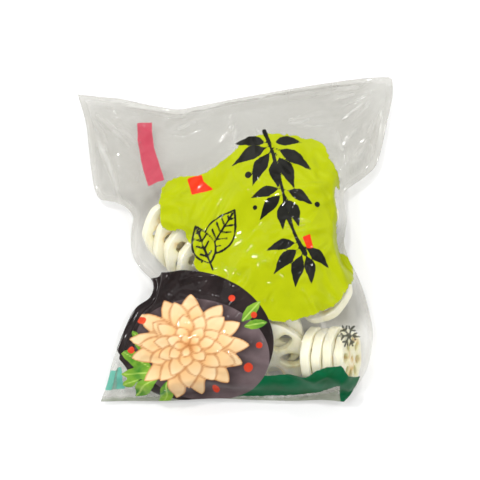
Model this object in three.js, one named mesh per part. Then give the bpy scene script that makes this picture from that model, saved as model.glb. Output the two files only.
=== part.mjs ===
// A sealed clear pouch of sliced lotus root, lying on its back.
// +X runs across the pouch, +Y towards its empty head, +Z up from the surface that it lies on.
// The pouch is two webs of film, welded round the rim, with loose slices packed between them.
import * as THREE from "three";

// Film, in millimetres
const filmThickness = 0.8;
const webGap = 0.3; // between the webs where they are pressed together
const sliceClearance = 0.5; // from a slice to the film over or under it
const columns = 24; // film cells across the pouch
const rows = 26; // film cells from its bottom to its head
const edgeCrowding = 0.45; // 0 spaces the cells evenly, 1 crowds them along the rim
const frontSag = 0.28; // fall of the front web in each cell that nothing holds up
const backSag = 0.2; // the back web's, with the slices' weight on it
const sagSweeps = 900;
const patchSteps = 4; // points looked at on each side of a film cell's corner

// Slices, in millimetres
const sliceThickness = 7;
const sliceSpacing = 0.4; // free space between two slices that lie on each other
const rimSides = 22;
const holeSides = 6;
const holeRing = 0.57; // every length below is a share of the slice's radius
const holeLength = 0.2;
const holeWidth = 0.165;
const coreHole = 0.055;
const rimWave = 0.025;

// Each deck is a row of slices that lean on one another like fallen dominoes. The first one's centre is at
// `first`; `heading` is the way the row runs and its faces look, `lean` their angle to the surface, in degrees.
// `ringHoles` and `openness` set the number and length of a deck's air holes, which else vary by chance.
const decks = [
  { first: [-45.1, 5.4], heading: 316, lean: 39, radius: 25.8, count: 4 }, // left side
  { first: [23.8, -74.7], heading: 270, lean: 33, radius: 28.7, count: 2, ringHoles: 6, openness: 1.3 }, // bottom
  { first: [65.9, -42.4], heading: 140, lean: 47, radius: 22.5, count: 6 }, // right side
  { first: [59.1, -87], heading: 357, lean: 65, radius: 21, count: 4 }, // lower right corner
  { first: [-22.6, -81.2], heading: 190, lean: 39, radius: 26.7, count: 4 }, // lower left corner
  { first: [51.4, 16.5], heading: 91, lean: 51, radius: 24, count: 4 }, // up to the head
  { first: [5.8, 32], heading: 205, lean: 46, radius: 22.8, count: 2 }, // middle
  { first: [11, 50.5], heading: 171, lean: 31, radius: 14.3, count: 1 }, // under the head
];

// The rim of the pouch, corner to corner, as [x, y, height of the weld over the surface]
const bottomEdge = [
  [-101, -123, 7], [-56, -123, 5], [-13, -121, 6], [42, -123, 6], [81.5, -123.5, 9],
];
const topEdge = [
  [-119.5, 109, 15], [-87, 107, 8], [-58, 100.5, 8], [-43, 98.3, 9], [-26, 101.5, 7],
  [4, 107.6, 6], [42, 114.4, 7], [83, 121, 6], [105, 123, 9], [119, 120.5, 17],
];
const leftEdge = [
  [-101, -123, 7], [-92, -92, 11], [-81, -64, 12], [-70, -49, 13], [-61.3, -39, 15], [-65, -28.5, 15],
  [-77, -14, 13], [-78, 5, 13], [-76, 15.5, 14], [-86, 26, 13], [-103, 31, 11], [-108.5, 49, 9],
  [-112, 78, 9], [-119.5, 109, 15],
];
const rightEdge = [
  [81.5, -123.5, 9], [95, -106, 11], [103.5, -72, 12], [96, -39, 13], [86.5, -18, 13], [82.2, -4, 14],
  [84, 14, 14], [82.3, 32, 15], [101, 47.5, 13], [111, 67, 10], [117, 92, 9], [119, 120.5, 17],
];

// The same draws on every run.
function drawsFrom(seed) {
  let state = seed;
  return () => {
    state = (state * 1664525 + 1013904223) % 4294967296;
    return state / 4294967296;
  };
}

const draw = drawsFrom(7);
const between = (low, high) => low + (high - low) * draw();

// One slice, flat and centred: a waved rim, a ring of egg-shaped air holes and a small hole in its core.
function sliceGeometry(radius, deck) {
  const ringHoles = deck.ringHoles ?? (draw() < 0.5 ? 7 : 8);
  const openness = deck.openness ?? 1;
  const wavePhase = between(0, 2 * Math.PI);
  const rim = new THREE.Shape();
  for (let i = 0; i < rimSides; i++) {
    const angle = (2 * Math.PI * i) / rimSides;
    const reach = radius * (1 + rimWave * Math.cos(ringHoles * angle + wavePhase));
    const x = reach * Math.cos(angle);
    const y = reach * Math.sin(angle);
    if (i === 0) rim.moveTo(x, y);
    else rim.lineTo(x, y);
  }
  rim.closePath();

  for (let hole = 0; hole < ringHoles; hole++) {
    const angle = (2 * Math.PI * (hole + between(-0.08, 0.08))) / ringHoles;
    const length = radius * holeLength * openness * between(0.85, 1.12);
    const width = radius * holeWidth * between(0.85, 1.1) * (7 / ringHoles);
    const centre = radius * holeRing * between(0.97, 1.03);
    rim.holes.push(holePath(angle, centre, length, width, holeSides));
  }
  rim.holes.push(holePath(between(0, 6), 0.02 * radius, coreHole * radius, coreHole * radius, 4));

  const geometry = new THREE.ExtrudeGeometry(rim, { depth: sliceThickness, bevelEnabled: false });
  return geometry.translate(0, 0, -sliceThickness / 2);
}

// An egg-shaped hole whose wide end points outwards.
function holePath(angle, centre, length, width, sides) {
  const path = new THREE.Path();
  for (let i = 0; i < sides; i++) {
    const turn = (2 * Math.PI * (i + 0.5)) / sides;
    const along = centre + length * Math.cos(turn);
    const across = width * Math.sin(turn) * (1 + 0.22 * Math.cos(turn));
    const x = along * Math.cos(angle) - across * Math.sin(angle);
    const y = along * Math.sin(angle) + across * Math.cos(angle);
    if (i === 0) path.moveTo(x, y);
    else path.lineTo(x, y);
  }
  path.closePath();
  return path;
}

// Places each slice of every deck and keeps its disc for the film to lie on.
const flesh = new THREE.MeshStandardMaterial({ color: 0xebe4cd, roughness: 0.55, metalness: 0 });
const contents = new THREE.Group();
const discs = [];
const zAxis = new THREE.Vector3(0, 0, 1);
for (const deck of decks) {
  const heading = THREE.MathUtils.degToRad(deck.heading);
  const lean = THREE.MathUtils.degToRad(deck.lean);
  const forward = new THREE.Vector3(Math.cos(heading), Math.sin(heading), 0);
  const normal = forward.clone().multiplyScalar(Math.sin(lean)).addScaledVector(zAxis, Math.cos(lean));
  let along = 0;
  let height;
  for (let i = 0; i < deck.count; i++) {
    const radius = deck.radius * between(0.96, 1.03);
    const reach = radius * (1 + rimWave);
    const sideways = new THREE.Vector3(-forward.y, forward.x, 0).multiplyScalar(between(-1.5, 1.5));
    const raised = reach * Math.sin(lean) + (sliceThickness / 2) * Math.cos(lean);
    const centre = new THREE.Vector3(deck.first[0], deck.first[1], filmThickness + sliceClearance + raised);
    // A step keeps the faces one spacing apart, also where the next slice is larger and sits higher.
    const climb = i === 0 ? 0 : centre.z - height;
    if (i > 0) along += (sliceThickness + sliceSpacing - climb * Math.cos(lean)) / Math.sin(lean);
    height = centre.z;
    centre.addScaledVector(forward, along).add(sideways);
    discs.push({ centre, normal, reach });

    const slice = new THREE.Mesh(sliceGeometry(radius, deck), flesh);
    slice.name = "slice_" + String(discs.length).padStart(2, "0");
    slice.quaternion.setFromUnitVectors(zAxis, normal);
    slice.quaternion.multiply(new THREE.Quaternion().setFromAxisAngle(zAxis, between(0, 6)));
    slice.position.copy(centre);
    contents.add(slice);
  }
}

// Height of the face of a disc over the point x, y. Side +1 is its upper face and -1 its lower one.
// Past the edge of that face it follows the disc's wall, and clear of the disc it is undefined.
function faceHeight(disc, x, y, side) {
  const { centre, normal, reach } = disc;
  const dx = x - centre.x;
  const dy = y - centre.y;
  const flatReach = Math.hypot(normal.x, normal.y);
  const along = (dx * normal.x + dy * normal.y) / flatReach;
  const across = (-dx * normal.y + dy * normal.x) / flatReach;
  if (Math.abs(across) > reach) return undefined;
  const half = Math.sqrt(reach * reach - across * across);
  // The section through the disc at this distance across is a rectangle that leans.
  const slope = flatReach / normal.z;
  const shift = (side * sliceThickness * flatReach) / 2;
  const rise = (side * sliceThickness * normal.z) / 2;
  const low = shift - half * normal.z;
  const high = shift + half * normal.z;
  const wallLow = -Math.abs(shift) - half * normal.z;
  const wallHigh = Math.abs(shift) + half * normal.z;
  if (along < wallLow || along > wallHigh) return undefined;
  const onFace = Math.min(high, Math.max(low, along));
  return centre.z + rise - (onFace - shift) * slope + (along - onFace) / slope;
}

// The highest slice over a patch of the plan, or with side -1 the lowest one.
function contentsHeight(x, y, patchX, patchY, side) {
  let best = side > 0 ? -Infinity : Infinity;
  for (const disc of discs) {
    for (let stepX = -patchSteps; stepX <= patchSteps; stepX++) {
      for (let stepY = -patchSteps; stepY <= patchSteps; stepY++) {
        const overX = x + (stepX / patchSteps) * patchX;
        const overY = y + (stepY / patchSteps) * patchY;
        const height = faceHeight(disc, overX, overY, side);
        if (height !== undefined) best = side > 0 ? Math.max(best, height) : Math.min(best, height);
      }
    }
  }
  return best;
}

// Plan of the film: a grid between the four edges.
const curveThrough = (points) => new THREE.CatmullRomCurve3(points.map((p) => new THREE.Vector3(...p)));
const bottomCurve = curveThrough(bottomEdge);
const topCurve = curveThrough(topEdge);
const leftCurve = curveThrough(leftEdge);
const rightCurve = curveThrough(rightEdge);
const crowded = (t) => t + edgeCrowding * (0.5 - 0.5 * Math.cos(Math.PI * t) - t);

function filmPoint(u, v) {
  const left = leftCurve.getPointAt(v);
  const right = rightCurve.getPointAt(v);
  const bottom = bottomCurve.getPointAt(u);
  const top = topCurve.getPointAt(u);
  const point = new THREE.Vector3();
  point.addScaledVector(left, 1 - u).addScaledVector(right, u);
  point.addScaledVector(bottom, 1 - v).addScaledVector(top, v);
  point.addScaledVector(bottomCurve.getPointAt(0), -(1 - u) * (1 - v));
  point.addScaledVector(bottomCurve.getPointAt(1), -u * (1 - v));
  point.addScaledVector(topCurve.getPointAt(0), -(1 - u) * v);
  point.addScaledVector(topCurve.getPointAt(1), -u * v);
  return point;
}

const plan = [];
for (let j = 0; j <= rows; j++) {
  const line = [];
  for (let i = 0; i <= columns; i++) line.push(filmPoint(crowded(i / columns), crowded(j / rows)));
  plan.push(line);
}

// Heights of the webs' inner faces: stretched from the rim over and under the slices.
const isRim = (i, j) => i === 0 || j === 0 || i === columns || j === rows;
const ceiling = [];
const ground = [];
for (let j = 0; j <= rows; j++) {
  ceiling.push([]);
  ground.push([]);
  for (let i = 0; i <= columns; i++) {
    const { x, y } = plan[j][i];
    const patchX = isRim(i, j) ? 0 : (plan[j][i + 1].x - plan[j][i - 1].x) / 2;
    const patchY = isRim(i, j) ? 0 : (plan[j + 1][i].y - plan[j - 1][i].y) / 2;
    ceiling[j].push(contentsHeight(x, y, patchX, patchY, 1) + sliceClearance);
    ground[j].push(contentsHeight(x, y, patchX, patchY, -1) - sliceClearance);
  }
}

const frontHeight = plan.map((line) => line.map((p) => p.z + webGap / 2));
const backHeight = plan.map((line) => line.map((p) => p.z - webGap / 2));
const around = (heights, i, j) =>
  (heights[j][i - 1] + heights[j][i + 1] + heights[j - 1][i] + heights[j + 1][i]) / 4;
for (let sweep = 0; sweep < sagSweeps; sweep++) {
  for (let j = 1; j < rows; j++) {
    for (let i = 1; i < columns; i++) {
      const back = Math.min(around(backHeight, i, j) - backSag, ground[j][i]);
      backHeight[j][i] = Math.max(back, filmThickness);
      const front = Math.max(around(frontHeight, i, j) - frontSag, ceiling[j][i]);
      frontHeight[j][i] = Math.max(front, backHeight[j][i] + webGap);
    }
  }
}

// A web of film: its inner face at the given heights and its outer face one thickness out.
function webGeometry(heights, side) {
  const inner = plan.map((line, j) => line.map((p, i) => new THREE.Vector3(p.x, p.y, heights[j][i])));
  const outer = inner.map((line, j) =>
    line.map((point, i) => {
      const left = inner[j][Math.max(i - 1, 0)];
      const right = inner[j][Math.min(i + 1, columns)];
      const below = inner[Math.max(j - 1, 0)][i];
      const above = inner[Math.min(j + 1, rows)][i];
      const normal = right.clone().sub(left).cross(above.clone().sub(below)).normalize();
      return point.clone().addScaledVector(normal, side * filmThickness);
    }),
  );
  const positions = [];
  const triangle = (a, b, c) => positions.push(...a.toArray(), ...b.toArray(), ...c.toArray());
  const quad = (a, b, c, d) => {
    triangle(a, b, c);
    triangle(a, c, d);
  };
  const lower = side > 0 ? inner : outer;
  const upper = side > 0 ? outer : inner;
  for (let j = 0; j < rows; j++) {
    for (let i = 0; i < columns; i++) {
      quad(upper[j][i], upper[j][i + 1], upper[j + 1][i + 1], upper[j + 1][i]);
      quad(lower[j][i], lower[j + 1][i], lower[j + 1][i + 1], lower[j][i + 1]);
    }
  }
  for (let i = 0; i < columns; i++) {
    quad(lower[0][i], lower[0][i + 1], upper[0][i + 1], upper[0][i]);
    quad(upper[rows][i], upper[rows][i + 1], lower[rows][i + 1], lower[rows][i]);
  }
  for (let j = 0; j < rows; j++) {
    quad(upper[j][0], upper[j + 1][0], lower[j + 1][0], lower[j][0]);
    quad(lower[j][columns], lower[j + 1][columns], upper[j + 1][columns], upper[j][columns]);
  }
  const geometry = new THREE.BufferGeometry();
  geometry.setAttribute("position", new THREE.Float32BufferAttribute(positions, 3));
  geometry.computeVertexNormals();
  return geometry;
}

const printedFilm = new THREE.MeshStandardMaterial({ color: 0xc0d000, roughness: 0.2, metalness: 0 });
const clearFilm = new THREE.MeshStandardMaterial({ color: 0xd2d2cd, roughness: 0.2, metalness: 0 });
const frontWeb = new THREE.Mesh(webGeometry(frontHeight, 1), printedFilm);
frontWeb.name = "film_front";
const backWeb = new THREE.Mesh(webGeometry(backHeight, -1), clearFilm);
backWeb.name = "film_back";

const pouch = new THREE.Group();
pouch.add(frontWeb, backWeb, contents);

// The origin is under the middle of the pouch, on the surface that it lies on.
const size = new THREE.Box3().setFromObject(pouch, true);
pouch.position.set(-(size.min.x + size.max.x) / 2, -(size.min.y + size.max.y) / 2, -size.min.z);

export default pouch;
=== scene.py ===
# A clear pouch packed with slices of lotus root, lying on its back with its empty head away from the viewer.
# Lengths in the dictionaries are millimetres; meshes are in metres.
import math

import bmesh
import bpy
import numpy as np
from mathutils import Matrix, Vector, geometry
from mathutils.bvhtree import BVHTree


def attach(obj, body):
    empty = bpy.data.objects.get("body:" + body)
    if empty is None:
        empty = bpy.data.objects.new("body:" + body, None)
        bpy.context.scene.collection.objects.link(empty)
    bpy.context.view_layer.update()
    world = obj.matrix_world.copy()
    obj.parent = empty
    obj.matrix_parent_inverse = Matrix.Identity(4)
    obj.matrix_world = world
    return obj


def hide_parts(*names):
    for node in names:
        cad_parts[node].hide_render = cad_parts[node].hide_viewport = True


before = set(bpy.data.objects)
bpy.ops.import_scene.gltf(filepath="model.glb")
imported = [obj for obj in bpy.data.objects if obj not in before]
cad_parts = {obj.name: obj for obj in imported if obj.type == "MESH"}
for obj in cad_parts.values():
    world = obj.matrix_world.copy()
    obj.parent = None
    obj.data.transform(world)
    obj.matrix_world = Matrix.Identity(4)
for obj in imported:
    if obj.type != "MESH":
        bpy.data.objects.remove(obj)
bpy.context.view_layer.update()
mm = 0.001
sliceNodes = sorted(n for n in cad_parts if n.startswith("slice_"))
print("frame loaded:", len(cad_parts), "nodes")

view = {
    "elevation": 86,  # degrees over the floor
    "distance": 1.0,
    "lens": 100,
    "aim": (4.1, -1.0, 12.0),
}


def makeCamera():
    camera = bpy.data.objects.new("camera", bpy.data.cameras.new("camera"))
    bpy.context.scene.collection.objects.link(camera)
    camera.data.lens = view["lens"]
    tilt = math.radians(view["elevation"])
    aim = Vector(view["aim"]) * mm
    camera.location = aim + view["distance"] * Vector((0, -math.cos(tilt), math.sin(tilt)))
    camera.rotation_euler = (math.pi / 2 - tilt, 0, 0)
    bpy.context.scene.camera = camera


makeCamera()


# points, outlines and distances

def curveThrough(points, count, closed=False):
    # evenly spaced points on a smooth curve through the given ones
    p = np.array(points, float)
    p = np.vstack([p[-1], p, p[:2]]) if closed else np.vstack([2 * p[0] - p[1], p, 2 * p[-1] - p[-2]])
    t = np.linspace(0, 1, 24, endpoint=False)[:, None]
    fine = []
    for a, b, c, d in zip(p, p[1:], p[2:], p[3:]):
        fine.append(0.5 * (2 * b + (c - a) * t + (2 * a - 5 * b + 4 * c - d) * t**2
                           + (3 * b - a - 3 * c + d) * t**3))
    fine = np.vstack(fine + [p[1:2] if closed else p[-2:-1]])
    along = np.concatenate([[0], np.cumsum(np.linalg.norm(np.diff(fine, axis=0), axis=1))])
    at = np.linspace(0, along[-1], count, endpoint=not closed)
    return np.stack([np.interp(at, along, fine[:, k]) for k in range(p.shape[1])], axis=1)


def insideLoop(points, loop):
    x, y = points[:, 0][:, None], points[:, 1][:, None]
    a, b = loop, np.roll(loop, -1, axis=0)
    crosses = (a[:, 1] > y) != (b[:, 1] > y)
    with np.errstate(divide="ignore", invalid="ignore"):
        at = a[:, 0] + (y - a[:, 1]) * (b[:, 0] - a[:, 0]) / (b[:, 1] - a[:, 1])
    return (crosses & (x < at)).sum(axis=1) % 2 == 1


def distanceTo(points, line, closed=False):
    # distance from each point to a polyline, and how far along it (0 to 1) the nearest place is
    a = line if closed else line[:-1]
    b = np.roll(line, -1, axis=0) if closed else line[1:]
    best = np.full(len(points), 1e9)
    place = np.zeros(len(points))
    for k, (start, end) in enumerate(zip(a, b)):
        edge = end - start
        t = np.clip(((points - start) @ edge) / max(edge @ edge, 1e-12), 0, 1)
        far = np.linalg.norm(points - start - t[:, None] * edge, axis=1)
        nearer = far < best
        best[nearer] = far[nearer]
        place[nearer] = (k + t[nearer]) / len(a)
    return best, place


# meshes, node trees and materials

def newObject(name, vertices, faces):
    mesh = bpy.data.meshes.new(name)
    mesh.from_pydata([tuple(v) for v in vertices], [], faces)
    mesh.update()
    thing = bpy.data.objects.new(name, mesh)
    bpy.context.scene.collection.objects.link(thing)
    return thing


def pointsOf(mesh, what="co"):
    flat = np.zeros(len(mesh.vertices) * 3)
    mesh.vertices.foreach_get(what, flat)
    return flat.reshape(-1, 3)


def setAttribute(mesh, name, values):
    made = mesh.attributes.new(name, "FLOAT", "POINT")
    made.data.foreach_set("value", np.asarray(values, np.float32))


def nodeMaker(tree):
    # adds a node and fills its inputs, by name or number, from values or from other nodes' outputs
    def node(kind, sockets=None, **settings):
        made = tree.nodes.new(kind)
        for key, value in settings.items():
            setattr(made, key, value)
        for key, value in (sockets or {}).items():
            if isinstance(value, bpy.types.NodeSocket):
                tree.links.new(value, made.inputs[key])
            else:
                made.inputs[key].default_value = value
        return made

    return node


def newMaterial(name):
    material = bpy.data.materials.new(name)
    material.use_nodes = True
    material.node_tree.nodes.clear()
    add = nodeMaker(material.node_tree)

    def node(kind, sockets=None, **settings):
        return add("ShaderNode" + kind, sockets, **settings)

    return material, node


def calculate(node, operation, a, b=0.0, c=0.0, clamp=False):
    return node("Math", {0: a, 1: b, 2: c}, operation=operation, use_clamp=clamp).outputs[0]


def blend(node, factor, a, b):
    return node("Mix", {0: factor, 6: a, 7: b}, data_type="RGBA").outputs[2]


def ramped(node, value, low, high, first, last):
    return node("MapRange", {0: value, 1: low, 2: high, 3: first, 4: last}, clamp=True).outputs[0]


def growMesh(thing, tree, values):
    # runs a geometry tree on an object with the given inputs, and returns the plain mesh that it makes
    modifier = thing.modifiers.new(tree.name, "NODES")
    modifier.node_group = tree
    for item in tree.interface.items_tree:
        if item.item_type == "SOCKET" and item.in_out == "INPUT" and item.name in values:
            modifier[item.identifier] = values[item.name]
    mesh = bpy.data.meshes.new_from_object(thing.evaluated_get(bpy.context.evaluated_depsgraph_get()))
    thing.modifiers.clear()
    mesh.name = thing.name
    return mesh


# slices of lotus root

lotusSlice = {
    "rimPoints": 72,
    "holePoints": 22,
    "edgeRounding": 0.9,
    "facePitch": 2.6,  # spacing of the points inside a face
    "faceRelief": 0.5,
    "stainReach": 1.4,  # how far the ochre tint runs in from a hole
}


def readSlice(node):
    # where a packed slice lies: centre, axes, half thickness and its loops, rim first and then the holes
    mesh = node.data
    points, index = np.unique(np.round(pointsOf(mesh) / mm, 3), axis=0, return_inverse=True)
    index = index.reshape(-1)
    triangles = np.array([[index[v] for v in p.vertices] for p in mesh.polygons])
    middle = points.mean(0)
    axes = np.linalg.svd(points - middle, full_matrices=False)[2]
    normal = axes[2] if axes[2][2] > 0 else -axes[2]
    right = axes[0]
    ahead = np.cross(normal, right)
    local = (points - middle) @ np.stack([right, ahead, normal], axis=1)
    top, bottom = local[:, 2].max(), local[:, 2].min()
    onTop = (local[triangles][:, :, 2] > top - 0.05).all(axis=1)
    edges = {e for a, b, c in triangles[onTop].tolist() for e in ((a, b), (b, c), (c, a))}
    follow = {a: b for a, b in edges if (b, a) not in edges}
    loops = []
    for start in sorted(follow):
        loop, at = [], start
        while at in follow:
            loop.append(at)
            at = follow.pop(at)
        if loop:
            loops.append(local[loop][:, :2])
    loops.sort(key=lambda loop: -np.ptp(loop[:, 0]) - np.ptp(loop[:, 1]))
    turn = Matrix(np.stack([right, ahead, normal], axis=1).tolist()).to_4x4()
    centre = middle + normal * (top + bottom) / 2
    return Matrix.Translation(Vector(centre * mm)) @ turn, (top - bottom) / 2, loops


def makePlate(name, loops, draw):
    # the flat face of a slice, drawn in by the edge rounding, with points inside so that it can undulate
    outward, inset = [], []
    for loop in loops:
        tangent = np.roll(loop, -1, axis=0) - np.roll(loop, 1, axis=0)
        away = np.stack([tangent[:, 1], -tangent[:, 0]], axis=1)
        away /= np.linalg.norm(away, axis=1)[:, None]
        outward.append(away)
        inset.append(loop - away * lotusSlice["edgeRounding"])
    pitch = lotusSlice["facePitch"]
    reach = np.abs(inset[0]).max()
    grid = np.arange(-reach, reach, pitch)
    inner = np.array([(x, y) for x in grid for y in grid])
    inner += draw.uniform(-0.3, 0.3, inner.shape) * pitch
    rimGap = distanceTo(inner, inset[0], closed=True)[0]
    holeGap = np.min([distanceTo(inner, loop, closed=True)[0] for loop in inset[1:]], axis=0)
    keep = insideLoop(inner, inset[0]) & (rimGap > 0.45 * pitch) & (holeGap > 0.45 * pitch)
    for loop in inset[1:]:
        keep &= ~insideLoop(inner, loop)
    inner, rimGap, holeGap = inner[keep], rimGap[keep], holeGap[keep]
    outline = np.vstack(inset)
    borders, first = [], 0
    for loop in inset:
        borders += [(first + i, first + (i + 1) % len(loop)) for i in range(len(loop))]
        first += len(loop)
    points = np.vstack([outline, inner])
    cut = geometry.delaunay_2d_cdt([Vector(p) for p in points], borders, [], 0, 1e-6, True)
    source = [origins[0] for origins in cut[3]]
    triangles = np.array([[source[k] for k in face] for face in cut[2]])
    middle = points[triangles].mean(axis=1)
    flesh = insideLoop(middle, inset[0])
    for loop in inset[1:]:
        flesh &= ~insideLoop(middle, loop)
    onRim = np.arange(len(points)) < len(inset[0])
    onHole = (np.arange(len(points)) >= len(inset[0])) & (np.arange(len(points)) < len(outline))
    gaps = np.concatenate([np.zeros(len(outline)), holeGap])
    rims = np.concatenate([np.zeros(len(outline)), rimGap])
    plate = newObject(name, np.column_stack([points, np.zeros(len(points))]) * mm, triangles[flesh].tolist())
    away = np.zeros((len(points), 3))
    away[:len(outline), :2] = np.vstack(outward)
    plate.data.attributes.new("outward", "FLOAT_VECTOR", "POINT").data.foreach_set("vector", away.reshape(-1))
    reachIn = lotusSlice["stainReach"]
    setAttribute(plate.data, "stain", np.where(onRim, 0, np.exp(-gaps / reachIn)))
    setAttribute(plate.data, "skin", np.where(onHole, 0, np.exp(-rims / reachIn)))
    return plate


def sliceTree():
    # a flat plate becomes a slice: its border rolls down over a rounded edge, and the half is mirrored
    tree = bpy.data.node_groups.new("cut slice", "GeometryNodeTree")
    sockets = tree.interface
    sockets.new_socket("Geometry", in_out="INPUT", socket_type="NodeSocketGeometry")
    for label in ("Thickness", "Edge rounding", "Face relief", "Seed"):
        sockets.new_socket(label, in_out="INPUT", socket_type="NodeSocketFloat")
    sockets.new_socket("Flesh", in_out="INPUT", socket_type="NodeSocketMaterial")
    sockets.new_socket("Geometry", in_out="OUTPUT", socket_type="NodeSocketGeometry")
    node = nodeMaker(tree)
    given = tree.nodes.new("NodeGroupInput").outputs
    half = node("ShaderNodeMath", {0: given["Thickness"], 1: 0.5}, operation="MULTIPLY").outputs[0]
    outward = node("GeometryNodeInputNamedAttribute", {"Name": "outward"},
                   data_type="FLOAT_VECTOR").outputs[0]
    border = node("ShaderNodeMath", {0: node("GeometryNodeInputMeshEdgeNeighbors").outputs[0], 1: 1.5},
                  operation="LESS_THAN").outputs[0]
    raised = node("ShaderNodeCombineXYZ", {"Z": half}).outputs[0]
    shape = node("GeometryNodeSetPosition", {"Geometry": given["Geometry"], "Offset": raised}).outputs[0]
    turns = [math.radians(a) for a in (0, 25, 50, 72, 90)]
    steps = [(math.sin(b) - math.sin(a), math.cos(b) - math.cos(a)) for a, b in zip(turns, turns[1:])]
    for out, down in steps:
        aside = node("ShaderNodeMath", {0: given["Edge rounding"], 1: out}, operation="MULTIPLY").outputs[0]
        drop = node("ShaderNodeMath", {0: given["Edge rounding"], 1: down}, operation="MULTIPLY").outputs[0]
        offset = node("ShaderNodeVectorMath", {0: outward, "Scale": aside}, operation="SCALE").outputs[0]
        lowered = node("ShaderNodeCombineXYZ", {"Z": drop}).outputs[0]
        offset = node("ShaderNodeVectorMath", {0: offset, 1: lowered}, operation="ADD").outputs[0]
        rolled = node("GeometryNodeExtrudeMesh", {"Mesh": shape, "Selection": border, "Offset": offset,
                                                  "Offset Scale": 1.0}, mode="EDGES")
        shape, border = rolled.outputs["Mesh"], rolled.outputs["Top"]
    wall = node("ShaderNodeMath", {0: given["Edge rounding"], 1: half}, operation="SUBTRACT").outputs[0]
    wall = node("ShaderNodeCombineXYZ", {"Z": wall}).outputs[0]
    shape = node("GeometryNodeExtrudeMesh", {"Mesh": shape, "Selection": border, "Offset": wall,
                                             "Offset Scale": 1.0}, mode="EDGES").outputs["Mesh"]
    other = node("GeometryNodeTransform", {"Geometry": shape, "Scale": (1, 1, -1)}).outputs[0]
    other = node("GeometryNodeFlipFaces", {"Mesh": other}).outputs[0]
    both = node("GeometryNodeJoinGeometry", {0: shape})
    tree.links.new(other, both.inputs[0])
    shape = node("GeometryNodeMergeByDistance", {"Geometry": both.outputs[0], "Distance": 0.00001}).outputs[0]
    waves = node("ShaderNodeTexNoise", {"W": given["Seed"], "Scale": 95.0, "Detail": 2.0},
                 noise_dimensions="4D").outputs[0]
    waves = node("ShaderNodeMath", {0: waves, 1: 0.55}, operation="SUBTRACT").outputs[0]
    waves = node("ShaderNodeMath", {0: waves, 1: given["Face relief"]}, operation="MULTIPLY").outputs[0]
    lift = node("ShaderNodeVectorMath", {0: node("GeometryNodeInputNormal").outputs[0], "Scale": waves},
                operation="SCALE").outputs[0]
    shape = node("GeometryNodeSetPosition", {"Geometry": shape, "Offset": lift}).outputs[0]
    shape = node("GeometryNodeSetShadeSmooth", {0: shape}).outputs[0]
    shape = node("GeometryNodeRealizeInstances", {0: shape}).outputs[0]
    shape = node("GeometryNodeSetMaterial", {"Geometry": shape, "Material": given["Flesh"]}).outputs[0]
    tree.links.new(shape, tree.nodes.new("NodeGroupOutput").inputs[0])
    return tree


def makeSlice(name, seed, tree, flesh):
    place, half, rough = readSlice(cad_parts[name])
    loops = [curveThrough(rough[0], lotusSlice["rimPoints"], closed=True)]
    loops += [curveThrough(loop, lotusSlice["holePoints"], closed=True) for loop in rough[1:]]
    piece = makePlate("lotus_" + name, loops, np.random.default_rng(seed))
    mesh = growMesh(piece, tree, {
        "Thickness": 2 * half * mm, "Edge rounding": lotusSlice["edgeRounding"] * mm,
        "Face relief": lotusSlice["faceRelief"] * mm, "Seed": float(seed), "Flesh": flesh})
    mesh.transform(place)
    piece.data = mesh
    return piece


def fleshMaterial():
    material, node = newMaterial("lotus flesh")
    place = node("TexCoord").outputs["Object"]
    stain = node("Attribute", attribute_name="stain").outputs["Fac"]
    skin = node("Attribute", attribute_name="skin").outputs["Fac"]
    cloud = node("TexNoise", {"Vector": place, "Scale": 60, "Detail": 3}).outputs["Fac"]
    grain = node("TexNoise", {"Vector": place, "Scale": 900, "Detail": 2}).outputs["Fac"]
    uneven = node("TexNoise", {"Vector": place, "Scale": 75, "Detail": 2}).outputs["Fac"]
    colour = blend(node, ramped(node, cloud, 0.3, 0.7, 0, 1), (0.97, 0.93, 0.77, 1), (0.95, 0.885, 0.65, 1))
    colour = blend(node, calculate(node, "MULTIPLY", grain, 0.3), colour, (0.98, 0.97, 0.88, 1))
    # the holes' walls, and the flesh close round them, are tinted a darker olive, and ochre here and there
    holeTint = calculate(node, "MULTIPLY", stain, 0.75)
    colour = blend(node, holeTint, colour, (0.80, 0.75, 0.42, 1))
    rusty = calculate(node, "MULTIPLY", stain, ramped(node, uneven, 0.52, 0.66, 0.0, 0.9))
    colour = blend(node, rusty, colour, (0.70, 0.43, 0.09, 1))
    colour = blend(node, calculate(node, "MULTIPLY", skin, 0.25), colour, (0.84, 0.78, 0.52, 1))
    height = calculate(node, "MULTIPLY_ADD", cloud, 2.0, grain)
    bump = node("Bump", {"Height": height, "Strength": 0.3, "Distance": 0.0004}).outputs[0]
    shader = node("BsdfPrincipled", {
        "Base Color": colour, "Roughness": ramped(node, cloud, 0.2, 0.8, 0.32, 0.5), "Normal": bump,
        "Subsurface Weight": 0.5, "Subsurface Radius": (1.0, 0.9, 0.65), "Subsurface Scale": 0.006,
        "Specular IOR Level": 0.5})
    node("OutputMaterial", {"Surface": shader.outputs[0]})
    return material


def makeSlices():
    tree, flesh = sliceTree(), fleshMaterial()
    made = []
    for number, name in enumerate(sliceNodes):
        piece = makeSlice(name, number, tree, flesh)
        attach(piece, "root")
        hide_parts(name)
        made.append(piece)
    return made


slices = makeSlices()
print("slices made:", len(slices), "with", sum(len(s.data.polygons) for s in slices), "faces")


# the pouch's film

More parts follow.
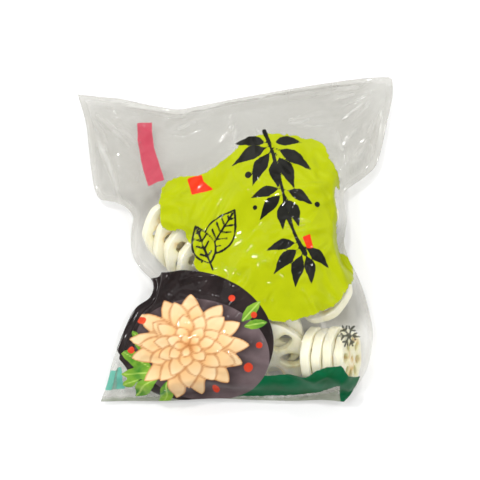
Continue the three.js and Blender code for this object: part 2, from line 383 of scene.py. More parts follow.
film = {
    "columns": 104,
    "rows": 108,
    "place": (0.1, 0.5),
    # the rim, corner to corner: x, y and the weld's height over the floor
    "bottom": [(-101, -123, 7), (-80, -122.6, 5), (-56, -122.6, 5), (-36, -121.6, 6), (-13, -120.6, 6),
               (12, -121.6, 5.5), (42, -122.4, 6), (64, -121.6, 7), (81.5, -123, 9)],
    "top": [(-119.5, 109.3, 15), (-101, 108, 10), (-87, 107, 8), (-74, 104, 8), (-58, 100.8, 8),
            (-43, 98.6, 9), (-26, 101.8, 7), (4, 107.9, 6), (42, 114.6, 7), (83, 121.2, 6), (105, 123, 9),
            (116, 122.3, 14), (119, 119.5, 17)],
    "left": [(-101, -123, 7), (-95.5, -108, 10), (-91, -90, 11), (-81, -64, 12), (-74, -52, 13),
             (-64.5, -45.4, 14), (-61.3, -39, 15), (-62, -32, 15), (-67, -27, 14), (-72.5, -21, 13),
             (-77, -13, 13), (-78.2, -1, 13), (-77.4, 9.5, 13), (-76.3, 15, 14), (-80.5, 22, 14),
             (-89, 26.6, 13), (-100.5, 28.8, 11), (-104.5, 32.5, 11), (-107, 40, 10), (-109, 52, 9),
             (-111, 68, 8), (-113.5, 88, 9), (-119.5, 109.3, 15)],
    "right": [(81.5, -123, 9), (89, -115, 10), (95, -106, 11), (99.5, -97, 12), (102.5, -84, 12),
              (103.6, -70, 12), (101, -55.5, 13), (96.4, -39.4, 13), (91, -26, 13), (86.2, -17.5, 13),
              (82.3, -5, 14), (83, 3, 14), (84.2, 14, 14), (82.4, 25, 15), (82.6, 33.5, 15), (88, 38.6, 14),
              (99.5, 46.6, 13), (106.6, 54.5, 12), (110.8, 66, 10), (115, 84, 9), (118, 98, 9),
              (119.8, 108, 12), (119, 119.5, 17)],
    "slack": 0.03,  # film beyond what a taut one would need
    "squeeze": 0.6,  # pull of the air that was drawn out
    "steps": 25,
    "waves": 0.6,  # height of the unevenness that the folds start from
    "stiffness": 1.0,  # against bending
    "reach": 9,  # the furthest that a point may slide across the film
    "clearance": 0.9,  # between the film and the slices
    "lookAround": 2.5,  # how far round a point of the film slices are looked for, over one cell of its grid
    # creases pressed into the film: spacing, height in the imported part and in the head
    "creases": [(34, 2.2, 0.9), (15, 0.8, 0.35)],
    "creaseTurn": -28, "creaseStretch": 1.7,
    # ridges that fan out from where the film is pulled: x, y, first and last direction, count and longest
    "fans": [(-116, 106, -8, -78, 8, 105), (116, 117, 188, 262, 9, 110), (-99, -120, 18, 84, 6, 70),
             (81, -120, 96, 152, 7, 80), (-63, -36, -35, 60, 6, 60), (-80, 20, -20, 75, 6, 70),
             (84, 8, 120, 235, 7, 65), (88, 36, 95, 215, 5, 60), (103, -72, 130, 220, 5, 55),
             (4, 104, 235, 300, 5, 60), (-70, 74, 16, 52, 4, 52), (26, 82, 6, 24, 3, 66),
             (78, 40, 52, 84, 3, 50), (20, -30, 25, 60, 4, 60)],
    "ridge": (2.8, 7.5),  # height of a ridge, and how far its foot is from its crest
    "ridgeStart": (6, 26),  # how far from its fan's point a ridge begins
    "ridgeBend": 14,  # the most that it bends on its way, in degrees
    "weld": (4.5, 11),  # where the flat weld ends and where the film has left it
    "skin": 0.2,  # from the weld's middle to either web, and from the floor to the back one
}


def filmPlan():
    # the grid of the film seen from above, between its four edges
    nu, nv = film["columns"], film["rows"]
    bottom, top = curveThrough(film["bottom"], nu + 1), curveThrough(film["top"], nu + 1)
    left, right = curveThrough(film["left"], nv + 1), curveThrough(film["right"], nv + 1)
    u = np.linspace(0, 1, nu + 1)[None, :, None]
    v = np.linspace(0, 1, nv + 1)[:, None, None]
    plan = (1 - u) * left[:, None] + u * right[:, None] + (1 - v) * bottom[None] + v * top[None]
    plan -= (1 - u) * (1 - v) * bottom[0] + u * (1 - v) * bottom[-1] + (1 - u) * v * top[0] + u * v * top[-1]
    return plan


def dropOnto(plan, node, way):
    # heights, in millimetres, where upright lines through the grid meet a packed web from outside
    tree = BVHTree.FromObject(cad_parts[node], bpy.context.evaluated_depsgraph_get())
    heights = plan[..., 2].copy()
    dx, dy = film["place"]
    for j in range(1, plan.shape[0] - 1):
        for i in range(1, plan.shape[1] - 1):
            start = Vector(((plan[j, i, 0] + dx) * mm, (plan[j, i, 1] + dy) * mm, -0.2 * way))
            spot = tree.ray_cast(start, Vector((0, 0, way)))[0]
            if spot is not None:
                heights[j, i] = spot.z / mm
    return heights


def softened(heights, sweeps):
    for _ in range(sweeps):
        around = heights[1:-1, :-2] + heights[1:-1, 2:] + heights[:-2, 1:-1] + heights[2:, 1:-1]
        heights[1:-1, 1:-1] = 0.5 * heights[1:-1, 1:-1] + 0.125 * around
    return heights


def gridFaces(rows, columns):
    wide = columns + 1
    return [(j * wide + i, j * wide + i + 1, (j + 1) * wide + i + 1, (j + 1) * wide + i)
            for j in range(rows) for i in range(columns)]


def packedMesh(names):
    work = bmesh.new()
    for name in names:
        work.from_mesh(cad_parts[name].data)
    bmesh.ops.remove_doubles(work, verts=work.verts, dist=1e-6)
    mesh = bpy.data.meshes.new("contents")
    work.to_mesh(mesh)
    work.free()
    return mesh


def drawDown(web, rim):
    # the film as it lies after sealing: a slack sheet, held at the weld and pulled down on the slices
    contents = bpy.data.objects.new("contents", packedMesh(sliceNodes + ["film_back"]))
    bpy.context.scene.collection.objects.link(contents)
    contents.modifiers.new("Collision", "COLLISION")
    contents.collision.thickness_outer = 0.0006
    contents.collision.cloth_friction = 2
    held = web.vertex_groups.new(name="rim")
    held.add(rim, 1.0, "REPLACE")
    cloth = web.modifiers.new("Cloth", "CLOTH")
    sheet = cloth.settings
    sheet.quality = 6
    sheet.mass = 0.05
    sheet.air_damping = 1
    sheet.tension_stiffness = sheet.compression_stiffness = 60
    sheet.shear_stiffness = 40
    sheet.bending_stiffness = film["stiffness"]
    sheet.tension_damping = sheet.compression_damping = sheet.shear_damping = 8
    sheet.bending_damping = 0.5
    sheet.vertex_group_mass = "rim"
    sheet.pin_stiffness = 1
    sheet.shrink_min = -film["slack"]
    sheet.use_pressure = True
    sheet.uniform_pressure_force = -film["squeeze"]
    sheet.effector_weights.gravity = 0.3
    cloth.collision_settings.distance_min = 0.0008
    cloth.collision_settings.use_self_collision = False
    for step in range(1, film["steps"] + 1):
        bpy.context.scene.frame_set(step)
    settled = bpy.data.meshes.new_from_object(web.evaluated_get(bpy.context.evaluated_depsgraph_get()))
    web.modifiers.clear()
    bpy.context.scene.frame_set(1)
    bpy.data.objects.remove(contents)
    bpy.data.objects.remove(web)
    return pointsOf(settled)


def rimLine():
    sides = [curveThrough(film[side], 160) for side in ("bottom", "right", "top", "left")]
    return np.vstack([sides[0], sides[1], sides[2][::-1], sides[3][::-1]]) + (*film["place"], 0)


def smoothStep(values, start, end):
    t = np.clip((values - start) / (end - start), 0, 1)
    return t * t * (3 - 2 * t)


def flattenWeld(points, before, side):
    # presses a web flat along the rim, where it is welded to the other one, and limits how far points slid
    line = rimLine() * mm
    far, place = distanceTo(before[:, :2], line[:, :2], closed=True)
    height = np.interp(place * len(line), np.arange(len(line) + 1), np.append(line[:, 2], line[0, 2]))
    free = smoothStep(far / mm, *film["weld"])[:, None]
    slid = (points - before)[:, :2]
    length = np.linalg.norm(slid, axis=1)[:, None]
    slid *= free * np.minimum(1, film["reach"] * mm / np.maximum(length, 1e-9))
    pressed = height + side * np.minimum(far, film["skin"] * mm)
    z = pressed + (points[:, 2] - pressed) * free[:, 0]
    return np.column_stack([before[:, :2] + slid, z])


def clearOfSlices(points, side):
    # moves a web away wherever a slice would touch it: the front one up, the back one down to the floor
    packed = packedMesh(sliceNodes)
    tree = BVHTree.FromPolygons([v.co for v in packed.vertices], [p.vertices[:] for p in packed.polygons])
    lift = np.zeros(len(points))
    around = film["lookAround"] * mm * np.array([(0, 0), (1, 0), (-1, 0), (0, 1), (0, -1)])
    for k, (x, y, z) in enumerate(points):
        for dx, dy in around:
            spot = tree.ray_cast(Vector((x + dx, y + dy, side)), Vector((0, 0, -side)))[0]
            if spot is not None:
                lift[k] = max(lift[k], side * (spot.z - z) + film["clearance"] * mm)
    lift = lift.reshape(film["rows"] + 1, -1)
    lift = np.maximum(lift, softened(lift.copy(), 4)).reshape(-1)
    return np.column_stack([points[:, :2], np.maximum(points[:, 2] + side * lift, film["skin"] * mm)])


def creaseHeight(place, spacing, seed):
    # ridges between the cells of scattered points, 0 in a cell's middle and about 1 along its border
    draw = np.random.default_rng(seed)
    a = math.radians(film["creaseTurn"])
    turned = np.stack([(place[:, 0] * math.cos(a) + place[:, 1] * math.sin(a)) / film["creaseStretch"],
                       -place[:, 0] * math.sin(a) + place[:, 1] * math.cos(a)], axis=1)
    turned += 0.12 * spacing * np.sin(turned[:, ::-1] * 5.1 / spacing + 1)
    grid = np.arange(-190, 190, spacing)
    seeds = np.array([(x, y) for x in grid for y in grid])
    seeds = seeds + draw.uniform(-0.45, 0.45, seeds.shape) * spacing
    nearest = np.full(len(place), 1e9)
    for x, y in seeds:
        np.minimum(nearest, np.hypot(turned[:, 0] - x, turned[:, 1] - y), out=nearest)
    return nearest / spacing


def ridgeHeight(place):
    draw = np.random.default_rng(8)
    height, foot = film["ridge"]
    lift = np.zeros(len(place))
    for x, y, first, last, count, longest in film["fans"]:
        for k in range(count):
            a = math.radians(first + (last - first) * (k + draw.uniform(-0.35, 0.35)) / (count - 1))
            start, length = draw.uniform(*film["ridgeStart"]), longest * draw.uniform(0.35, 1)
            bend = math.radians(draw.uniform(-film["ridgeBend"], film["ridgeBend"]))
            points = [(x + start * math.cos(a), y + start * math.sin(a))]
            for turn in (a, a + bend):
                lastX, lastY = points[-1]
                points.append((lastX + 0.5 * length * math.cos(turn), lastY + 0.5 * length * math.sin(turn)))
            far, along = distanceTo(place, curveThrough(points, 12))
            # the crest is high near its start and sinks into the film at its end
            crest = height * draw.uniform(0.45, 1) * np.minimum(1, 5 * along) * (1 - along) ** 0.6
            slope = np.clip(1 - (np.hypot(far, 0.5) - 0.5) / (foot * draw.uniform(0.6, 1)), 0, 1)
            lift = np.maximum(lift, crest * slope**1.8)
    return lift


def pressCreases(mesh):
    points, place = pointsOf(mesh), flatPlace(mesh)
    front = np.zeros(len(points), np.float32)
    mesh.attributes["front"].data.foreach_get("value", front)
    free = smoothStep(distanceTo(place, rimLine()[:, :2] - film["place"], closed=True)[0], 3, 12)
    head = smoothStep(place[:, 1] + 0.25 * np.abs(place[:, 0]), 62, 84)
    lift = np.zeros(len(points))
    for number, (spacing, packed, empty) in enumerate(film["creases"]):
        height = creaseHeight(place, spacing, 20 + number)
        lift += height * (packed + (empty - packed) * head)
    ridges = ridgeHeight(place)
    # how high each crest stands, which the film's colour lightens: partly the folded film's whitening, partly
    # a painted highlight
    setAttribute(mesh, "crest", np.where(front > 0.5, np.clip(ridges / film["ridge"][0], 0, 1) ** 3, 0))
    lift += ridges
    points[:, 2] += np.where(front > 0.5, lift * free, 0.6 * lift * free * head) * mm
    mesh.vertices.foreach_set("co", points.reshape(-1))
    mesh.update()


def flatPlace(mesh):
    # every vertex's place on the flat film, in millimetres
    corners = np.zeros(len(mesh.loops), int)
    mesh.loops.foreach_get("vertex_index", corners)
    uv = np.zeros(len(mesh.loops) * 2)
    mesh.uv_layers["flatFilm"].data.foreach_get("uv", uv)
    place = np.zeros((len(mesh.vertices), 2))
    place[corners] = uv.reshape(-1, 2)
    return place


def makeFilm():
    plan = filmPlan()
    rows, columns = film["rows"], film["columns"]
    draw = np.random.default_rng(3)
    front = softened(dropOnto(plan, "film_front", -1), 6)
    back = softened(dropOnto(plan, "film_back", 1), 6)
    waves = softened(draw.normal(0, 1, front.shape), 14)[1:-1, 1:-1]
    front[1:-1, 1:-1] += 1.4 + film["waves"] * waves / waves.std()
    plan[..., :2] += film["place"]
    top = np.dstack([plan[..., :2], front]).reshape(-1, 3) * mm
    under = np.dstack([plan[..., :2], back]).reshape(-1, 3) * mm
    index = np.arange((rows + 1) * (columns + 1)).reshape(rows + 1, columns + 1)
    rim = np.concatenate([index[0], index[-1], index[1:-1, 0], index[1:-1, -1]])
    settled = top
    settled = drawDown(newObject("web", top, gridFaces(rows, columns)), rim.tolist())
    top = clearOfSlices(flattenWeld(settled, top, 1), 1)
    under = clearOfSlices(flattenWeld(under, under, -1), -1)
    # both webs in one closed skin, which share the rim
    inside = np.setdiff1d(index, rim)
    backIndex = np.arange(len(top))
    backIndex[inside] = len(top) + np.arange(len(inside))
    faces = gridFaces(rows, columns)
    faces += [tuple(backIndex[list(face[::-1])].tolist()) for face in faces]
    pouch = newObject("pouch_film", np.vstack([top, under[inside]]), faces)
    # the print is laid out on the film as it lies, seen from above, and bends with its small folds
    slid = (top.reshape(rows + 1, columns + 1, 3)[..., :2] / mm - plan[..., :2])
    slid = np.dstack([softened(slid[..., 0], 30), softened(slid[..., 1], 30)])
    flat = (plan[..., :2] + slid - film["place"]).reshape(-1, 2)
    flat = np.vstack([flat, flat[inside]])
    corners = np.zeros(len(pouch.data.loops), int)
    pouch.data.loops.foreach_get("vertex_index", corners)
    layout = pouch.data.uv_layers.new(name="flatFilm")
    layout.data.foreach_set("uv", flat[corners].reshape(-1).astype(np.float32))
    onFront = np.zeros(len(pouch.data.vertices))
    onFront[:len(top)] = 1
    setAttribute(pouch.data, "front", onFront)
    finer = pouch.modifiers.new("Subdivision", "SUBSURF")
    finer.levels = finer.render_levels = 1
    pouch.data = bpy.data.meshes.new_from_object(pouch.evaluated_get(bpy.context.evaluated_depsgraph_get()))
    pouch.modifiers.clear()
    pouch.data.name = "pouch_film"
    pressCreases(pouch.data)
    pouch.data.polygons.foreach_set("use_smooth", [True] * len(pouch.data.polygons))
    return pouch


pouch = makeFilm()
print("film made:", len(pouch.data.polygons), "faces")


# what is printed on the film, and a painted shade along its bottom edge, laid out on the flat film: x to the
# right and y to the head

printed = {
    "field": [(-53.4, 36.7), (-48.4, 41.9), (-37.9, 45), (-24.4, 45.4), (-10.4, 55.7), (0, 64.3), (6.9, 71.1),
              (20.6, 76.1), (35.6, 76.9), (49.9, 74.6), (61.9, 72.8), (67.1, 67.7), (70.6, 57.4),
              (74.9, 50.5), (78.6, 36.2), (74.4, 36.2), (74.9, 22.9), (75.8, 5.7), (77.5, -9.8),
              (82.7, -13.2), (88.7, -21.8), (86.9, -32.2), (75.8, -47.6), (65.4, -54.5), (51.7, -59.7),
              (32.7, -63.2), (17.3, -58), (4.1, -48), (-10.9, -36), (-27.5, -25), (-29.3, -13.1),
              (-33.4, -4.1), (-38.6, 4.1), (-48.2, 2.3), (-52.6, 7), (-54.2, 18), (-54.8, 29)],
    "plate": (-31, -74), "plateSize": (60, 48),
    "well": (-24, -84), "wellSize": (50, 37),
    "plateTurn": -12,
    "strip": [(-74, 87.5), (-62.9, 88), (-61.1, 69.4), (-52.5, 43.1), (-64.6, 37.9), (-70.1, 55.9),
              (-73.5, 74.6)],
    "flag": [(-35.2, 43.1), (-24.4, 45.4), (-22.9, 40.9), (-15.6, 34.4), (-31.4, 30.2)],
    "tag": [(49.1, -2), (54.8, 0.5), (56.9, -9.8), (52.5, -11.2)],
    "band": [(-5.2, -118.5), (8, -109), (18.9, -101.9), (41.3, -102.8), (51.7, -103.2), (58.5, -98.5),
             (67.1, -95.6), (76.8, -94.6), (82.7, -103), (93, -102.8), (84, -122.4), (79, -123.4),
             (77, -111), (58.5, -114.8), (41.3, -116.6), (15.4, -117.8)],
    # not print: a painted shade with a painted greenish reflection, where the film curves under along the
    # bottom edge
    "paintedHemShade": [(-104, -126), (-100, -119.5), (-60, -117), (-30, -116.5), (10, -118), (45, -117.5), (76, -113),
            (88, -126)],
    "patch": [(-93, -99), (-84, -97), (-81, -113), (-97, -113.5)],
    "flake": (83.2, -73.5), "flakeReach": 8.6,
}


def signed(points, line):
    # distance to a closed outline, below zero inside it
    far = distanceTo(points, line, closed=True)[0]
    return np.where(insideLoop(points, line), -far, far)


def stroke(points, path, widths):
    # distance to a brush stroke, whose width runs through the given values
    far, place = distanceTo(points, curveThrough(path, 24))
    return far - np.interp(place, np.linspace(0, 1, len(widths)), widths) / 2


def ellipse(points, centre, size, turn):
    a = math.radians(turn)
    x = (points[:, 0] - centre[0]) * math.cos(a) + (points[:, 1] - centre[1]) * math.sin(a)
    y = -(points[:, 0] - centre[0]) * math.sin(a) + (points[:, 1] - centre[1]) * math.cos(a)
    reach = np.hypot(x / size[0], y / size[1])
    return (reach - 1) * np.hypot(x, y) / np.maximum(reach, 1e-6)


inkBranch = {
    # joints of the stem, and leaves as x, y, length, direction in degrees and width
    "stem": [[(22, 79), (27, 66), (31, 50)], [(31.6, 47), (35, 32), (38, 17)],
             [(38.6, 14), (44, -1), (51, -14)]],
    "stemWidths": [3.6, 2.2, 3.4],
    "leaves": [
        (26, 70, 27, 176, 8), (27, 68, 34, 203, 10), (28, 65, 33, 236, 10.5), (30, 60, 27, 268, 8.5),
        (30, 62, 32, 302, 10.5), (29, 66, 34, 334, 10), (27, 70, 24, 8, 8), (35, 34, 25, 190, 8),
        (36, 31, 27, 222, 9), (37, 27, 24, 258, 8), (37, 28, 25, 300, 8.5), (36, 33, 24, 338, 8),
        (47, -6, 25, 186, 8), (48, -9, 28, 218, 9.5), (50, -12, 27, 250, 9.5), (51, -13, 24, 288, 8.5),
        (50, -9, 24, 328, 8.5),
    ],
    "leafShape": (0.7, 1, 0.9, 0.6, 0.3),  # a leaf's width on its way to the tip, as shares of its widest
    "curl": 14,  # how far a leaf's outer half bends down, in degrees
    "drops": [(10, 44, 2.4), (60, 22, 2.0), (15, 20, 1.7)],
}


def inkField(points):
    field = np.full(len(points), 1e3)
    for joint in inkBranch["stem"]:
        field = np.minimum(field, stroke(points, joint, inkBranch["stemWidths"]))
    for x, y, length, direction, width in inkBranch["leaves"]:
        a = math.radians(direction)
        b = math.radians(direction - inkBranch["curl"] * math.copysign(1, math.cos(a)))
        middle = (x + 0.5 * length * math.cos(a), y + 0.5 * length * math.sin(a))
        tip = (middle[0] + 0.5 * length * math.cos(b), middle[1] + 0.5 * length * math.sin(b))
        widths = [0.8, 0.9, *(share * width for share in inkBranch["leafShape"]), 0.2]
        field = np.minimum(field, stroke(points, [(x, y), middle, tip], widths))
    for x, y, radius in inkBranch["drops"]:
        field = np.minimum(field, np.hypot(points[:, 0] - x, points[:, 1] - y) - radius)
    return field


lineLeaf = {
    # outlined leaves, the front one last: x, y, length, width, direction in degrees and pairs of veins
    "leaves": [(-10, 2, 38, 21, 58, 5), (-23, -7, 29, 17, 112, 4)],
    "line": 1.4,
}


def lineField(points):
    field = np.full(len(points), 1e3)
    for x, y, length, width, direction, veins in lineLeaf["leaves"]:
        a = math.radians(direction)
        along = (points[:, 0] - x) * math.cos(a) + (points[:, 1] - y) * math.sin(a)
        across = -(points[:, 0] - x) * math.sin(a) + (points[:, 1] - y) * math.cos(a)
        local = np.stack([along, across], axis=1)
        t = np.linspace(0, 1, 25)
        half = 0.5 * width * np.sin(math.pi * t**0.85)
        upper = np.stack([(t - 0.5) * length, half], axis=1)
        outline = np.vstack([upper, upper[::-1][1:-1] * (1, -1)])
        drawing = distanceTo(local, outline, closed=True)[0]
        drawing = np.minimum(drawing, distanceTo(local, np.array([(-0.68, 0), (0.42, 0)]) * length)[0])
        for k in range(veins):
            at = (-0.32 + 0.62 * k / (veins - 1)) * length
            reach = 0.3 * width * math.sin(math.pi * min(at / length + 0.6, 0.95))
            for side in (1, -1):
                vein = np.array([(at, 0), (at + 0.8 * reach, side * reach)])
                drawing = np.minimum(drawing, distanceTo(local, vein)[0])
        field = np.where(insideLoop(local, outline), drawing, np.minimum(field, drawing))
    return field - lineLeaf["line"] / 2


def flakeField(points):
    # a six-armed snow star
    x, y = (points - printed["flake"]).T
    a = np.mod(np.arctan2(y, x) + math.pi / 6, math.pi / 3) - math.pi / 6
    r = np.hypot(x, y)
    local = np.stack([r * np.cos(a), np.abs(r * np.sin(a))], axis=1)
    reach = printed["flakeReach"]
    field = distanceTo(local, np.array([(0, 0), (reach, 0)]))[0]
    field = np.minimum(field, distanceTo(local, np.array([(0.5, 0), (0.76, 0.3)]) * reach)[0])
    return field - 0.72


blossom = {
    "centre": (-33, -80),
    # rings of petals, the outermost first: how many, reach, width and turn
    "rings": [(13, 45, 15, 4), (11, 36, 14, 12), (10, 27, 12, 30), (7, 18, 10, 8), (5, 10, 7, 40)],
    "squash": 0.86,
    # sprays of leaves beside it: x, y, length, direction in degrees and width
    "leaves": [(-62, -97, 26, 150, 11), (-60, -100, 24, 185, 10), (-56, -104, 24, 215, 10),
               (-48, -108, 24, 250, 9), (-64, -88, 22, 120, 8), (6, -62, 19, 48, 8), (8, -66, 16, 10, 7),
               (-70, -106, 14, 200, 7)],
    # x, y and radius
    "berries": [(-68, -62, 2.7), (-2, -46, 2.4), (14, -58, 2.4), (10, -96, 3.4), (-14, -112, 2.6),
                (-76, -84, 2.6), (18, -80, 2.4)],
}


def petalFields(points):
    # distance to the whole blossom, to the edge of the uppermost petal, and that petal's shade
    x, y = (points - blossom["centre"]).T
    y = y / blossom["squash"]
    draw = np.random.default_rng(11)
    whole = np.full(len(points), 1e3)
    edge = np.full(len(points), 1e3)
    tone = np.zeros(len(points))
    for count, reach, width, turn in blossom["rings"]:
        for k in range(count):
            a = math.radians(turn + 360 * k / count + draw.uniform(-5, 5))
            long = reach * draw.uniform(0.9, 1.06)
            along = x * math.cos(a) + y * math.sin(a)
            across = -x * math.sin(a) + y * math.cos(a)
            t = np.clip(along / long, 0, 1)
            half = 0.5 * width * np.sin(math.pi * t**1.5) ** 0.75
            petal = np.where((along > 0) & (along < long), np.abs(across) - half, 1e3)
            petal = np.where(along >= long, np.hypot(along - long, across), petal) * 0.8
            inside = petal < 0
            edge = np.where(inside, -petal, np.minimum(edge, np.abs(petal)))
            shade = 0.7 * t + 0.2 * draw.random() + 0.1 * np.clip(across / width, -1, 1)
            tone = np.where(inside, shade, tone)
            whole = np.minimum(whole, petal)
    return whole, edge, tone


def leafFields(points):
    field = np.full(len(points), 1e3)
    rib = np.full(len(points), 1e3)
    for x, y, length, direction, width in blossom["leaves"]:
        a = math.radians(direction)
        path = np.array([(x, y), (x + length * math.cos(a), y + length * math.sin(a))])
        blade = stroke(points, path, [2, 0.9 * width, width, 0.7 * width, 0.3])
        rib = np.where(blade < 0, distanceTo(points, path)[0], rib)
        field = np.minimum(field, blade)
    return field, rib


def printFilm(mesh):
    place = flatPlace(mesh)
    berries = [np.hypot(*(place - (x, y)).T) - radius for x, y, radius in blossom["berries"]]
    front = np.zeros(len(mesh.vertices), np.float32)
    mesh.attributes["front"].data.foreach_get("value", front)
    shapes = {
        "field": signed(place, curveThrough(printed["field"], 160, closed=True)),
        "plate": ellipse(place, printed["plate"], printed["plateSize"], printed["plateTurn"]),
        "well": ellipse(place, printed["well"], printed["wellSize"], printed["plateTurn"]),
        "strip": signed(place, np.array(printed["strip"])),
        "flag": np.minimum(signed(place, np.array(printed["flag"])), signed(place, np.array(printed["tag"]))),
        "band": signed(place, np.array(printed["band"])),
        "patch": signed(place, np.array(printed["patch"])),
        "paintedHemShade": signed(place, np.array(printed["paintedHemShade"])),
        "ink": np.minimum(inkField(place), lineField(place)),
        "flake": flakeField(place),
        "berry": np.min(berries, axis=0),
    }
    shapes["blossom"], petalEdge, petalTone = petalFields(place)
    shapes["leaf"], leafRib = leafFields(place)
    for name, values in shapes.items():
        setAttribute(mesh, name, np.where(front > 0.5, values, 99))  # nothing is printed on the back web
    for name, values in (("petalEdge", petalEdge), ("petalTone", petalTone), ("leafRib", leafRib)):
        setAttribute(mesh, name, values)
    rim = rimLine()[:, :2] - film["place"]
    setAttribute(mesh, "fromRim", distanceTo(place, rim, closed=True)[0])
    # film that clings to a wet slice turns clearer
    packed = packedMesh(sliceNodes)
    tree = BVHTree.FromPolygons([v.co for v in packed.vertices], [p.vertices[:] for p in packed.polygons])
    gap = np.array([tree.find_nearest(v.co)[3] for v in mesh.vertices]) / mm
    setAttribute(mesh, "wet", np.exp(-np.maximum(gap - 5, 0) / 7))


printFilm(pouch.data)
print("print laid out")


inks = {
    # the two tones that each ink is mottled between
    # the painted shade and painted greenish reflection along the bottom edge, mottled like the inks
    "paintedHemShade": ((0.12, 0.15, 0.08), (0.30, 0.33, 0.24)),
    "lime": ((0.36, 0.42, 0.0), (0.41, 0.47, 0.001)),
    "strip": ((0.48, 0.045, 0.08), (0.55, 0.06, 0.10)),
    "patch": ((0.08, 0.40, 0.30), (0.10, 0.44, 0.34)),
    "band": ((0.0, 0.08, 0.022), (0.0, 0.12, 0.045)),
    "plate": ((0.012, 0.008, 0.008), (0.03, 0.02, 0.02)),
    "well": ((0.12, 0.085, 0.09), (0.17, 0.125, 0.13)),
    "leaf": ((0.04, 0.20, 0.02), (0.26, 0.45, 0.04)),
    "berry": ((0.60, 0.03, 0.01), (0.72, 0.08, 0.03)),
    "flag": ((0.74, 0.02, 0.004), (0.80, 0.04, 0.008)),
    "ink": ((0.006, 0.006, 0.005), (0.018, 0.018, 0.014)),
    # accents
    "limeSpeck": (0.54, 0.62, 0.01, 1),
    "wellShadow": (0.03, 0.018, 0.018, 1),
    "leafRib": (0.42, 0.60, 0.12, 1),
    "petals": ((0.55, 0.20, 0.05, 1), (0.84, 0.50, 0.22, 1), (0.90, 0.70, 0.42, 1)),
    "petalLine": (0.45, 0.17, 0.05, 1),
    "flake": (0.03, 0.035, 0.02, 1),
}


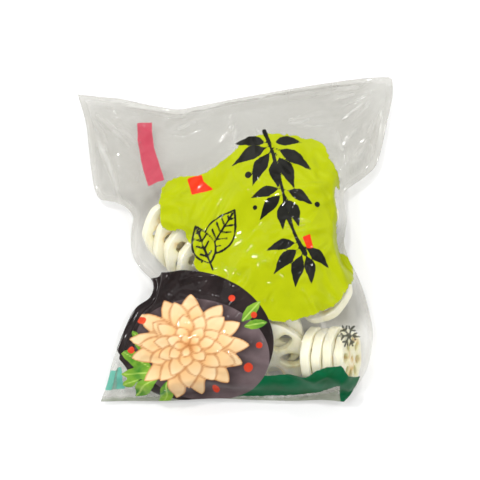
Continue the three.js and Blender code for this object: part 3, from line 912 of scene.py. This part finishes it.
def filmMaterial():
    material, node = newMaterial("printed film")
    place = node("TexCoord").outputs["Object"]

    def attribute(name):
        return node("Attribute", attribute_name=name).outputs["Fac"]

    def noise(scale, detail=2.0, stretch=(1, 1, 1)):
        turned = node("Mapping", {"Vector": place, "Scale": stretch}).outputs[0]
        return node("TexNoise", {"Vector": turned, "Scale": scale, "Detail": detail}).outputs["Fac"]

    torn = noise(260, 4, (1, 0.45, 1))
    blotch = noise(70, 3)
    speck = noise(1500, 2)
    hazy = noise(22, 3)

    def shape(name, rough=0.0, less=0.0, soft=0.25):
        # 1 inside a printed shape, whose edge the grain eats at by up to rough millimetres
        value = calculate(node, "SUBTRACT", attribute(name), less) if less else attribute(name)
        if rough:
            value = calculate(node, "MULTIPLY_ADD", calculate(node, "SUBTRACT", torn, 0.5), 2 * rough, value)
        return ramped(node, value, -soft, soft, 1, 0)

    # opacity and colour, from the clear film up
    haze = calculate(node, "MULTIPLY", ramped(node, hazy, 0.3, 0.7, 0.3, 0.4),
                     ramped(node, attribute("wet"), 0, 0.8, 1.0, 0.08))
    cover = calculate(node, "ADD", haze, ramped(node, attribute("fromRim"), 4.0, 5.5, 0.06, 0.0))
    cover = calculate(node, "MULTIPLY_ADD", attribute("crest"), 0.5, cover)  # a folded film turns whiter along its crests: partly its own whitening where folded, partly a painted highlight
    colour = blend(node, blotch, (0.53, 0.52, 0.475, 1), (0.48, 0.47, 0.425, 1))
    # the crests are painted lighter too: partly the film's whitening, partly a painted highlight
    colour = blend(node, attribute("crest"), colour, (0.82, 0.82, 0.79, 1))

    def lay(where, paint, opacity=0.995):
        nonlocal colour, cover
        colour = blend(node, where, colour, paint)
        cover = node("Mix", {0: where, 2: cover, 3: opacity}).outputs[0]

    def mottled(name):
        first, second = inks[name]
        return blend(node, ramped(node, blotch, 0.3, 0.7, 0, 1), (*first, 1), (*second, 1))

    # a painted shade and painted greenish reflection along the bottom edge, laid like an ink
    lay(shape("paintedHemShade", 2.0, 0, 1.5), mottled("paintedHemShade"), 0.66)
    lime = mottled("lime")
    lime = blend(node, calculate(node, "MULTIPLY", speck, 0.2), lime, inks["limeSpeck"])
    lay(shape("field", 2.4), lime)
    lay(shape("strip", 0.4), mottled("strip"), 0.9)
    lay(shape("patch", 0.6), mottled("patch"), 0.85)
    lay(shape("band", 0.8), mottled("band"))
    lay(shape("plate"), mottled("plate"))
    shadow = ramped(node, attribute("blossom"), 0.0, 9.0, 0.8, 0.0)
    well = blend(node, shadow, mottled("well"), inks["wellShadow"])
    lay(shape("well"), well)
    leafy = blend(node, shape("leafRib", 0, 0.5, 0.3), mottled("leaf"), inks["leafRib"])
    lay(shape("leaf", 0.5), leafy)
    unevenness = calculate(node, "SUBTRACT", blotch, 0.5)
    tone = calculate(node, "MULTIPLY_ADD", unevenness, 0.35, attribute("petalTone"))
    petal = node("ValToRGB", {0: tone})
    stops = petal.color_ramp.elements
    deep, middle, pale = inks["petals"]
    stops[0].position, stops[0].color = 0.05, deep
    stops[1].position, stops[1].color = 0.9, pale
    stops.new(0.45).color = middle
    outline = calculate(node, "MULTIPLY", shape("petalEdge", 0.3, 0.7, 0.6), 0.8)
    lay(shape("blossom"), blend(node, outline, petal.outputs[0], inks["petalLine"]))
    lay(shape("berry", 0.4), mottled("berry"))
    lay(shape("flag", 0.3), mottled("flag"))
    lay(shape("flake", 0.1), inks["flake"], 0.9)
    lay(shape("ink", 0.8), mottled("ink"))

    crinkle = noise(30, 2, (1, 0.6, 1))
    height = calculate(node, "MULTIPLY_ADD", noise(420, 2), 0.03, crinkle)
    bump = node("Bump", {"Height": height, "Strength": 0.14, "Distance": 0.001}).outputs[0]
    body = node("BsdfPrincipled", {
        "Base Color": colour, "Roughness": 0.4, "Normal": bump, "Specular IOR Level": 0.03})
    clear = node("BsdfTransparent", {"Color": (0.99, 0.99, 0.985, 1)})
    seen = node("MixShader", {0: cover, 1: clear.outputs[0], 2: body.outputs[0]})
    mirror = node("BsdfGlossy", {"Color": (1, 1, 1, 1), "Roughness": 0.06, "Normal": bump})
    glance = node("LayerWeight", {"Blend": 0.25, "Normal": bump}).outputs["Fresnel"]
    share = calculate(node, "MULTIPLY_ADD", calculate(node, "MINIMUM", glance, 0.8), 0.06, 0.007)
    surface = node("MixShader", {0: share, 1: seen.outputs[0], 2: mirror.outputs[0]})
    node("OutputMaterial", {"Surface": surface.outputs[0]})
    return material


pouch.data.materials.clear()
pouch.data.materials.append(filmMaterial())
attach(pouch, "root")
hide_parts("film_front", "film_back")
print("film finished")


# floor and light

studio = {
    "floorSize": 3.0,
    "sky": 0.42,
    # lamps: name, place in metres, width and height, watts
    "lamps": [
        ("left softbox", (-1.3, 0.3, 1.1), (1.5, 1.2), 8.5),
        ("right softbox", (1.3, 0.2, 1.05), (1.5, 1.2), 5),
        ("far softbox", (0.1, 1.4, 1.05), (1.8, 1.1), 7.5),
        ("near softbox", (0, -1.4, 1.05), (1.8, 1.1), 3.5),
        # small lamps that draw sharp glints along the film's folds
        ("key", (-0.35, 0.5, 1.25), (0.08, 0.06), 4.5),
        ("left spark", (-0.55, -0.05, 1.1), (0.05, 0.05), 1.5),
        ("right spark", (0.5, 0.3, 1.1), (0.05, 0.05), 1.5),
        ("near spark", (0.15, -0.55, 1.15), (0.05, 0.05), 1.2),
        ("far spark", (0.15, 0.75, 1.1), (0.05, 0.05), 1.5),
    ],
}


def makeStudio():
    half = studio["floorSize"] / 2
    corners = [(-half, -half, 0), (half, -half, 0), (half, half, 0), (-half, half, 0)]
    floor = newObject("floor", corners, [(0, 1, 2, 3)])
    material, node = newMaterial("pale floor")
    place = node("TexCoord").outputs["Object"]
    cloud = node("TexNoise", {"Vector": place, "Scale": 3, "Detail": 2}).outputs["Fac"]
    pale = blend(node, cloud, (0.90, 0.90, 0.90, 1), (0.93, 0.93, 0.93, 1))
    plaster = node("BsdfPrincipled", {"Base Color": pale, "Roughness": 0.7})
    node("OutputMaterial", {"Surface": plaster.outputs[0]})
    floor.data.materials.append(material)
    world = bpy.data.worlds.new("studio")
    world.use_nodes = True
    world.node_tree.nodes["Background"].inputs[0].default_value = (1, 1, 1, 1)
    world.node_tree.nodes["Background"].inputs[1].default_value = studio["sky"]
    bpy.context.scene.world = world
    for name, spot, (wide, tall), watts in studio["lamps"]:
        light = bpy.data.lights.new(name, "AREA")
        light.shape = "RECTANGLE"
        light.size, light.size_y, light.energy = wide, tall, watts
        lamp = bpy.data.objects.new(name, light)
        lamp.location = spot
        lamp.rotation_euler = (-Vector(spot)).to_track_quat("-Z", "Y").to_euler()
        bpy.context.scene.collection.objects.link(lamp)
    bpy.context.scene.view_settings.view_transform = "Standard"


makeStudio()
